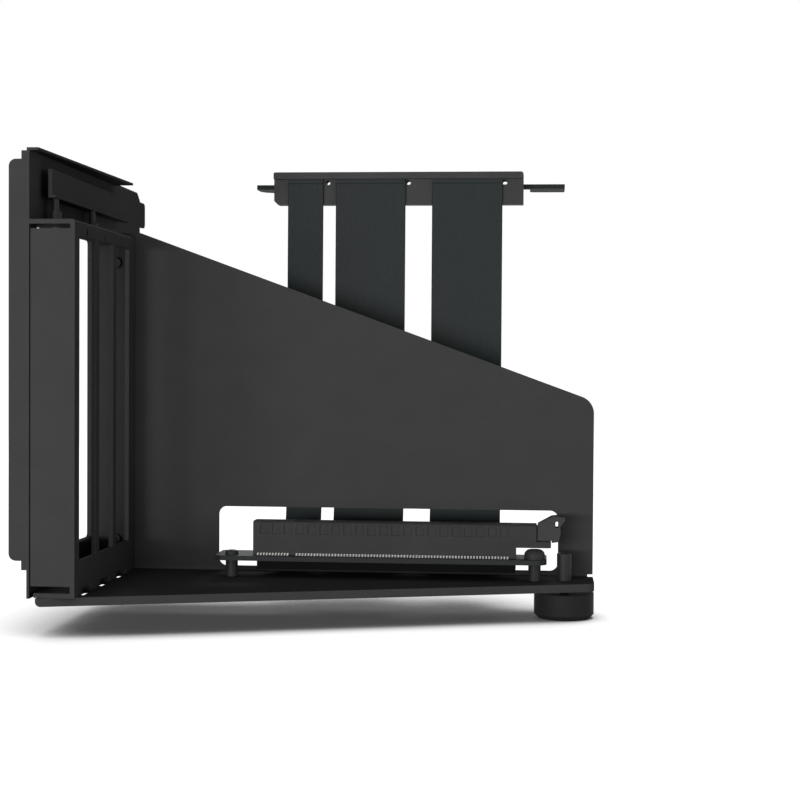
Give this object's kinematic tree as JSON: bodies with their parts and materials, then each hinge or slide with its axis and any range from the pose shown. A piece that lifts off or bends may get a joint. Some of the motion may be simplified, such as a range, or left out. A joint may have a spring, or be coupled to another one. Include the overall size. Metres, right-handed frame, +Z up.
{
  "type": "vertical graphics card mount",
  "caption": "Free-standing bracket that holds a graphics card upright beside the board, with a riser socket, flat ribbons and an edge plug.",
  "frame": {"origin": "middle of the footprint of the metal parts at the level of the foot's sole, ribbons and plug left out", "axes": "+X from the bracket frame towards the foot, +Y from the slanted front edge towards the back panel, +Z up"},
  "size_m": [0.1774, 0.1432, 0.1519],
  "materials": {
    "black_sheet": "matt powder coat",
    "black_screw": "satin black",
    "stud_steel": "satin black",
    "circuit_board": "satin solder mask",
    "socket_plastic": "satin",
    "latch_plastic": "satin",
    "contact_metal": "tinned",
    "finger_gold": "plated",
    "ribbon_jacket": "satin",
    "plug_plastic": "satin",
    "foot_plastic": "matt",
    "sole_rubber": "matt"
  },
  "bodies": {
    "frame": {"base_panel": "black_sheet", "slot_frame": "black_sheet", "side_plate": "black_sheet", "rear_frame": "black_sheet", "retention_plate": "black_sheet", "plate_pins": "black_screw", "flange_screws": "black_screw", "base_rivets": "black_screw", "riser_board": "circuit_board", "board_standoffs": "black_screw", "board_screws": "black_screw", "socket_housing": "socket_plastic", "socket_contacts": "contact_metal", "latch_pin": "black_screw", "board_insulator": "socket_plastic", "ribbon_left": "ribbon_jacket", "ribbon_middle": "ribbon_jacket", "ribbon_right": "ribbon_jacket", "plug_cover_front": "plug_plastic", "plug_cover_back": "plug_plastic", "plug_board": "circuit_board", "plug_contacts": "finger_gold", "foot_bush": "black_screw"},
    "latch": {"socket_latch": "latch_plastic"},
    "foot": {"foot_stud": "stud_steel", "foot_body": "foot_plastic", "foot_sole": "sole_rubber"}
  },
  "joints": [
    {"name": "latch_hinge", "type": "hinge", "parent": "frame", "child": "latch", "pos_m": [0.07305, -0.0087, 0.02415], "axis": [0, 1, 0], "range_deg": [0, 22]},
    {"name": "foot_screw", "type": "slide", "parent": "frame", "child": "foot", "axis": [0, 0, -1], "range_m": [0, 0.005]}
  ]
}
